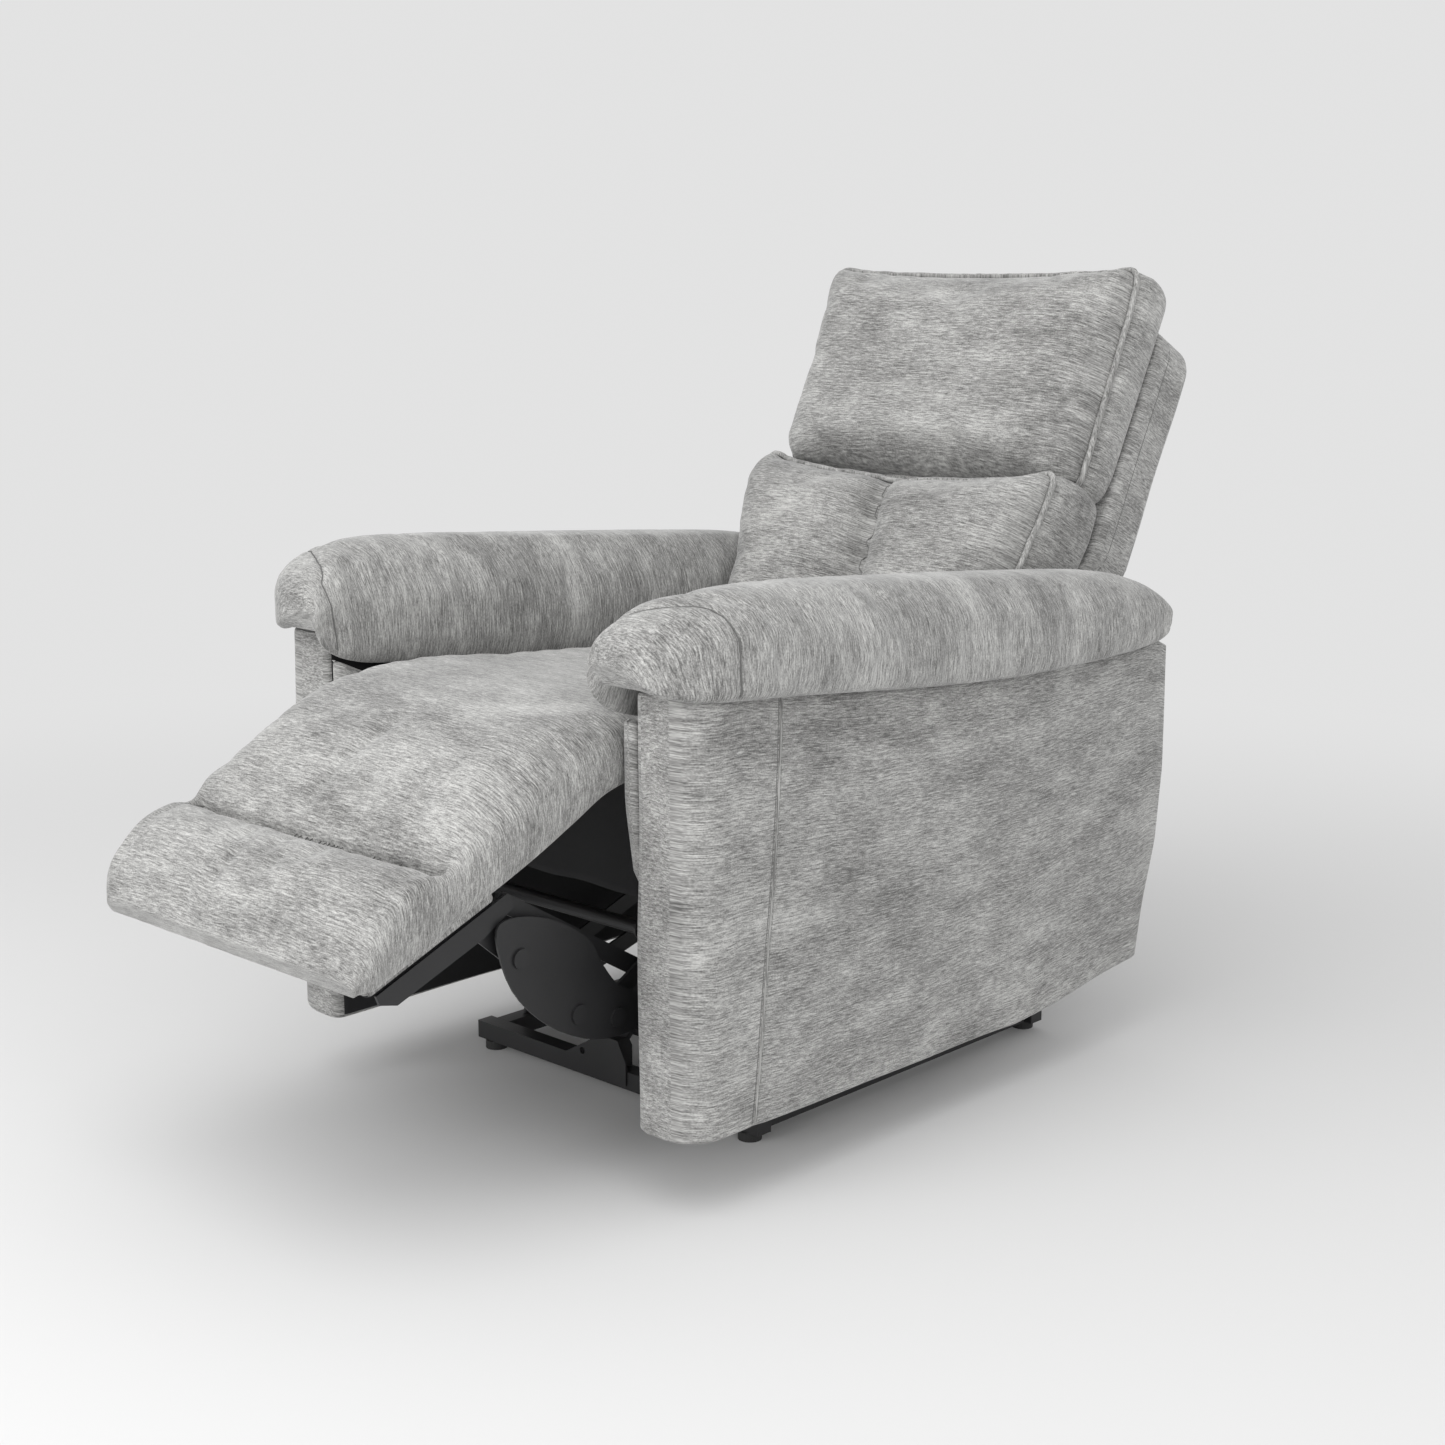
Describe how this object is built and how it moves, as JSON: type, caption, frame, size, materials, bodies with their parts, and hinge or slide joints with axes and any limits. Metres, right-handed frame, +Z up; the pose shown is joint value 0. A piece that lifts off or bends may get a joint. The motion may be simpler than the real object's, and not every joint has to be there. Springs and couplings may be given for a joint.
{
  "type": "lift recliner chair",
  "caption": "Upholstered armchair on a steel lifting base, with a reclining back, a scissor-linked footrest, padded arms and electric actuators.",
  "frame": {"origin": "middle of the bounding box, on the floor", "axes": "the chair faces -Y, +X is the left side of someone seated, +Z is up"},
  "size_m": [0.844, 1.515, 1.083],
  "materials": {
    "upholstery": "light silver-grey chenille with fine horizontal streaks",
    "cambric": "black dust-cover cloth",
    "timber": "unfinished plywood and timber",
    "black_steel": "black powder coat",
    "bare_steel": "zinc-plated steel",
    "black_plastic": "black moulded plastic, fine texture",
    "grey_plastic": "mid-grey moulded plastic",
    "rubber": "black rubber glide"
  },
  "bodies": {
    "base": {"base_front_crossbar": "black_steel", "foot_front_left": "rubber", "foot_front_right": "rubber", "base_rear_crossbar": "black_steel", "foot_rear_left": "rubber", "foot_rear_right": "rubber", "base_rail_left": "black_steel", "base_rail_right": "black_steel"},
    "front_lift_link": {"lift_front_link_left": "black_steel", "lift_front_link_right": "black_steel"},
    "rear_lift_link": {"lift_rear_link_left": "black_steel", "lift_rear_link_right": "black_steel"},
    "chassis": {"chassis_plate_left": "black_steel", "chassis_plate_right": "black_steel", "drive_shaft": "bare_steel", "seat_front_rail": "timber", "seat_rear_rail": "timber", "seat_spring_1": "bare_steel", "seat_spring_2": "bare_steel", "seat_spring_3": "bare_steel", "seat_cushion": "upholstery", "front_skirt": "cambric", "arm_panel_left": "upholstery", "cheek_left": "upholstery", "arm_pad_left": "upholstery", "arm_panel_right": "upholstery", "cheek_right": "upholstery", "arm_pad_right": "upholstery", "footrest_actuator_housing": "black_plastic", "control_box": "black_plastic", "dc_inlet": "black_plastic", "handset_pocket": "upholstery", "handset": "black_plastic"},
    "back": {"head_cushion": "upholstery", "lumbar_cushion": "upholstery", "back_shell": "upholstery", "back_bracket_left": "black_steel", "back_bracket_right": "black_steel", "recline_lug": "black_steel"},
    "rear_crank": {"footrest_drive_frame": "black_steel"},
    "front_crank": {"footrest_front_crank_left": "black_steel", "footrest_front_crank_right": "black_steel"},
    "inner_coupler": {"footrest_inner_coupler_left": "black_steel", "footrest_inner_coupler_right": "black_steel"},
    "outer_coupler": {"footrest_outer_coupler_left": "black_steel", "footrest_guard_left": "black_steel", "footrest_outer_coupler_right": "black_steel", "footrest_guard_right": "black_steel"},
    "footrest": {"footrest_board": "upholstery", "footrest_bracket_left": "black_steel", "footrest_bracket_right": "black_steel", "footrest_pad": "upholstery"},
    "lift_housing": {"lift_actuator_housing": "black_plastic"},
    "lift_rod": {"lift_actuator_rod": "bare_steel"},
    "recline_housing": {"recline_actuator_housing": "black_plastic"},
    "recline_rod": {"recline_actuator_rod": "bare_steel"},
    "footrest_rod": {"footrest_actuator_rod": "bare_steel"},
    "rocker_1": {"handset_rocker_1": "grey_plastic"},
    "rocker_2": {"handset_rocker_2": "grey_plastic"},
    "rocker_3": {"handset_rocker_3": "grey_plastic"}
  },
  "joints": [
    {"name": "lift", "type": "hinge", "parent": "base", "child": "front_lift_link", "pos_m": [0, -0.06549, 0.1], "axis": [1, 0, 0], "range_deg": [0, 60]},
    {"name": "chassis_hinge", "type": "hinge", "parent": "front_lift_link", "child": "chassis", "pos_m": [0, 0.2728, 0.22313], "axis": [1, 0, 0], "range_deg": [-40.1, 0]},
    {"name": "rear_link_hinge", "type": "hinge", "parent": "base", "child": "rear_lift_link", "pos_m": [0, -0.00549, 0.07], "axis": [1, 0, 0], "range_deg": [0, 57.8]},
    {"name": "lift_actuator_swing", "type": "hinge", "parent": "base", "child": "lift_housing", "pos_m": [0, -0.14549, 0.065], "axis": [1, 0, 0], "range_deg": [0, 52.4]},
    {"name": "lift_actuator_slide", "type": "slide", "parent": "lift_housing", "child": "lift_rod", "axis": [0, 0.7543, 0.6565], "range_m": [0, 0.059]},
    {"name": "recline", "type": "hinge", "parent": "chassis", "child": "back", "pos_m": [0, 0.32451, 0.4], "axis": [-1, 0, 0], "range_deg": [0, 32]},
    {"name": "recline_actuator_swing", "type": "hinge", "parent": "chassis", "child": "recline_housing", "pos_m": [-0.11, 0.12451, 0.3], "axis": [1, 0, 0], "range_deg": [-0.6, 0]},
    {"name": "recline_actuator_slide", "type": "slide", "parent": "recline_housing", "child": "recline_rod", "axis": [0, 0.9916, 0.1293], "range_m": [-0.0425, 0]},
    {"name": "footrest", "type": "hinge", "parent": "chassis", "child": "footrest", "pos_m": [0, -0.33549, 0.5], "axis": [-1, 0, 0], "range_deg": [-66, 22]},
    {"name": "rear_crank_hinge", "type": "hinge", "parent": "chassis", "child": "rear_crank", "pos_m": [0, -0.07405, 0.34291], "axis": [-1, 0, 0], "range_deg": [-66, 22]},
    {"name": "front_crank_hinge", "type": "hinge", "parent": "chassis", "child": "front_crank", "pos_m": [0, -0.12548, 0.37382], "axis": [-1, 0, 0], "range_deg": [-66, 22]},
    {"name": "inner_coupler_hinge", "type": "hinge", "parent": "front_crank", "child": "inner_coupler", "pos_m": [0, -0.31676, 0.26114], "axis": [-1, 0, 0], "range_deg": [-22, 66]},
    {"name": "outer_coupler_hinge", "type": "hinge", "parent": "front_crank", "child": "outer_coupler", "pos_m": [0, -0.35554, 0.2383], "axis": [-1, 0, 0], "range_deg": [-22, 66]},
    {"name": "footrest_actuator_slide", "type": "slide", "parent": "chassis", "child": "footrest_rod", "axis": [0, -1, 0], "range_m": [-0.0969, 0.0324]},
    {"name": "rocker_1_tilt", "type": "hinge", "parent": "chassis", "child": "rocker_1", "pos_m": [-0.4103, -0.04549, 0.5375], "axis": [0, 1, 0], "range_deg": [-8, 8], "stiffness_Nm_per_rad": 0.15},
    {"name": "rocker_2_tilt", "type": "hinge", "parent": "chassis", "child": "rocker_2", "pos_m": [-0.4103, -0.04549, 0.5165], "axis": [0, 1, 0], "range_deg": [-8, 8], "stiffness_Nm_per_rad": 0.15},
    {"name": "rocker_3_tilt", "type": "hinge", "parent": "chassis", "child": "rocker_3", "pos_m": [-0.4103, -0.04549, 0.4955], "axis": [0, 1, 0], "range_deg": [-8, 8], "stiffness_Nm_per_rad": 0.15}
  ],
  "couplings": [
    {"joint": "chassis_hinge", "follows": "lift", "ratio": -0.66667},
    {"joint": "rear_link_hinge", "follows": "lift", "ratio": 0.9606},
    {"joint": "lift_actuator_swing", "follows": "lift", "ratio": 0.8702},
    {"joint": "lift_actuator_slide", "follows": "lift", "m_per_rad": 0.0561},
    {"joint": "recline_actuator_swing", "follows": "recline", "ratio": -0.018},
    {"joint": "recline_actuator_slide", "follows": "recline", "m_per_rad": -0.0752},
    {"joint": "rear_crank_hinge", "follows": "footrest", "ratio": 1},
    {"joint": "front_crank_hinge", "follows": "footrest", "ratio": 1},
    {"joint": "inner_coupler_hinge", "follows": "footrest", "ratio": -1},
    {"joint": "outer_coupler_hinge", "follows": "footrest", "ratio": -1},
    {"joint": "footrest_actuator_slide", "follows": "footrest", "m_per_rad": 0.084}
  ]
}
